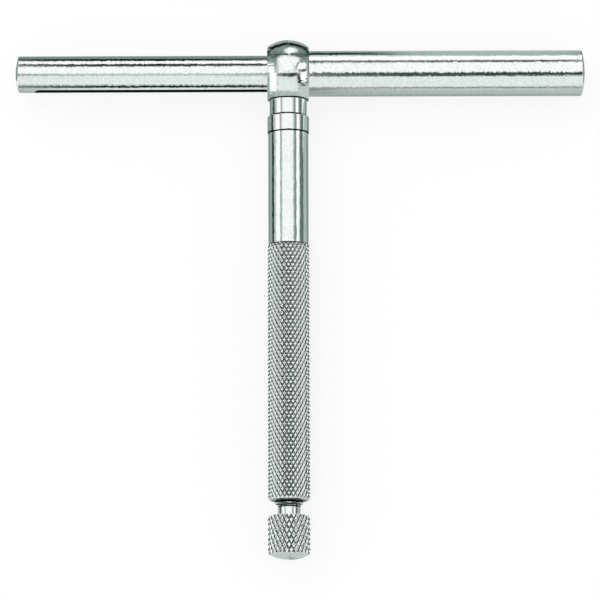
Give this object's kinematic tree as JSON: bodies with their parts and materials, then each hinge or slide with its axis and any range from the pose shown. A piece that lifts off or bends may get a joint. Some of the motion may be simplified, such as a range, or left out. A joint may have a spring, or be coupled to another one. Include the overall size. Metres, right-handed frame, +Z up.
{
  "type": "telescoping gauge",
  "caption": "T-shaped bore gauge with a fixed arm, a sprung arm that telescopes into it, a knurled handle and a knurled lock screw.",
  "frame": {"origin": "where the arms' axis crosses the handle's axis, in the middle of the ball head", "axes": "+X along the fixed arm, -Y down the handle, +Z up as the gauge lies flat"},
  "size_m": [0.1524, 0.1395, 0.018],
  "materials": {
    "arm_chrome": "satin chrome, ground along its length",
    "head_chrome": "satin chrome, turned",
    "grip_chrome": "satin chrome, diamond knurled",
    "screw_chrome": "satin chrome, diamond knurled",
    "inner_steel": "turned steel",
    "spring_steel": "spring wire"
  },
  "bodies": {
    "root": {"head": "head_chrome", "fixed_arm": "arm_chrome", "arm_pin": "head_chrome", "handle": "grip_chrome", "plunger_spring": "spring_steel", "rod_spring": "spring_steel"},
    "plunger": {"plunger": "arm_chrome"},
    "lock_rod": {"lock_rod": "inner_steel"},
    "lock_screw": {"lock_screw": "screw_chrome"}
  },
  "joints": [
    {"name": "plunger_slide", "type": "slide", "parent": "root", "child": "plunger", "axis": [1, 0, 0], "range_m": [0, 0.0635], "stiffness_N_per_m": 80, "springref_m": -0.0375, "deforming": ["plunger_spring"]},
    {"name": "lock_rod_slide", "type": "slide", "parent": "root", "child": "lock_rod", "axis": [0, 1, 0], "range_m": [-0.00079375, 0.00015875], "deforming": ["rod_spring"]},
    {"name": "lock_screw_turn", "type": "hinge", "parent": "lock_rod", "child": "lock_screw", "pos_m": [0, -0.115, 0], "axis": [0, 1, 0], "range_deg": [-450.1, 90.1]}
  ],
  "couplings": [
    {"joint": "lock_screw_turn", "follows": "lock_rod_slide", "rad_per_m": 9894.8}
  ]
}
